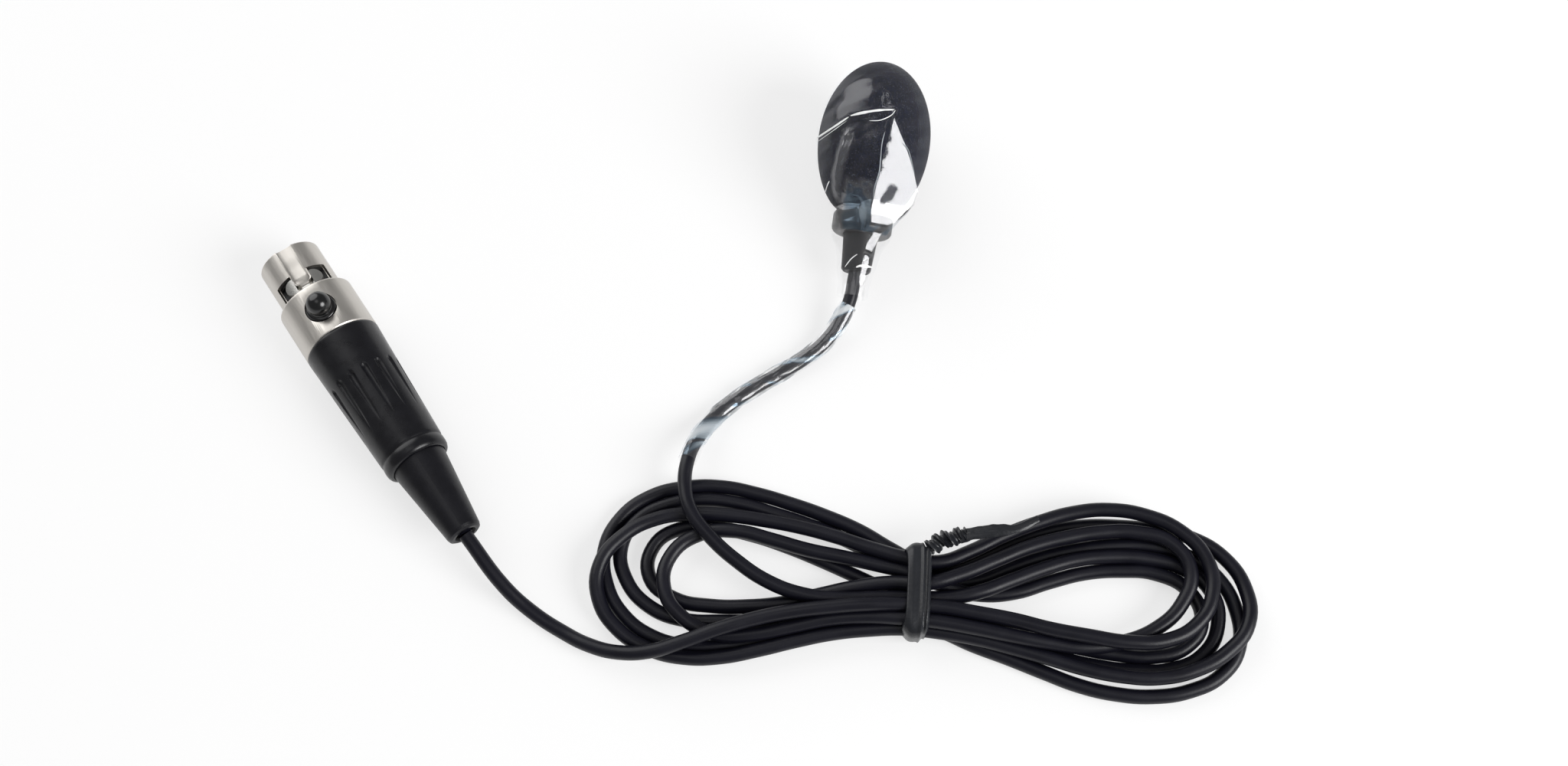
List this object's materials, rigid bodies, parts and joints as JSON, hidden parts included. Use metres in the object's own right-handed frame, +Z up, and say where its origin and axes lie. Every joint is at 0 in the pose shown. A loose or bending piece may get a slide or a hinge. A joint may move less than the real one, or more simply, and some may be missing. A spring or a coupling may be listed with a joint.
{
  "type": "lavalier microphone",
  "caption": "Small clip-size microphone head in an egg-shaped foam windscreen, on a thin cable tied in a hank that ends in a slim locking plug.",
  "frame": {"origin": "on the surface under the middle of the microphone head's bounding box, which runs from the strain relief's tail to the windscreen's tip, cable and plug left out", "axes": "+Z up from the surface that the microphone, the hank and the plug lie on; +Y along the microphone head from its tail to its tip; +X to the right of it"},
  "size_m": [0.1437, 0.0929, 0.0179],
  "materials": {
    "foam": "open-cell foam, matt black",
    "clear_film": "thin clear film, glossy",
    "black_metal": "satin black",
    "steel_mesh": "woven fine mesh",
    "capsule_can": "plain",
    "black_rubber": "matt",
    "board": "lacquered circuit board",
    "wire_insulation": "plain",
    "ferrule_brass": "plain",
    "cable_jacket": "satin",
    "tie_ribbon": "satin",
    "satin_nickel": "satin nickel plating",
    "black_plastic": "moulded",
    "gold_contacts": "gold plated",
    "latch_steel": "sheet steel",
    "button_plastic": "polished",
    "backshell_black": "satin black",
    "clamp_nylon": "natural",
    "boot_rubber": "satin"
  },
  "bodies": {
    "root": {"grille_cap": "black_metal", "grille_mesh": "steel_mesh", "capsule_housing": "black_metal", "electret_capsule": "capsule_can", "capsule_ring": "black_rubber", "capsule_board": "board", "lead_wires": "wire_insulation", "base_collar": "black_metal", "cable_ferrule": "ferrule_brass", "mic_strain_relief": "black_rubber", "sheath_in_mic": "cable_jacket", "cable_mic_side": "cable_jacket", "cable_hank": "cable_jacket", "cable_plug_side": "cable_jacket", "twist_tie": "tie_ribbon", "plug_shell": "satin_nickel", "plug_insert": "black_plastic", "plug_contacts": "gold_contacts", "backshell": "backshell_black", "cable_clamp": "clamp_nylon", "plug_boot": "boot_rubber", "sheath_in_plug": "cable_jacket", "plug_conductors": "wire_insulation"},
    "windscreen": {"windscreen": "foam"},
    "film": {"film_sleeve": "clear_film"},
    "latch": {"latch_plate": "latch_steel", "latch_button": "button_plastic"}
  },
  "joints": [
    {"name": "windscreen_pull", "type": "slide", "parent": "root", "child": "windscreen", "axis": [0, 0.9711, 0.2385], "range_m": [0, 0.03]},
    {"name": "film_pull", "type": "slide", "parent": "windscreen", "child": "film", "axis": [0, 0.9711, 0.2385], "range_m": [0, 0.03]},
    {"name": "latch_press", "type": "hinge", "parent": "root", "child": "latch", "pos_m": [-0.06711, -0.04159, 0.0088], "axis": [-0.7287, -0.6843, 0.0262], "range_deg": [0, 4.5], "stiffness_Nm_per_rad": 0.02, "springref_deg": -2.86}
  ]
}
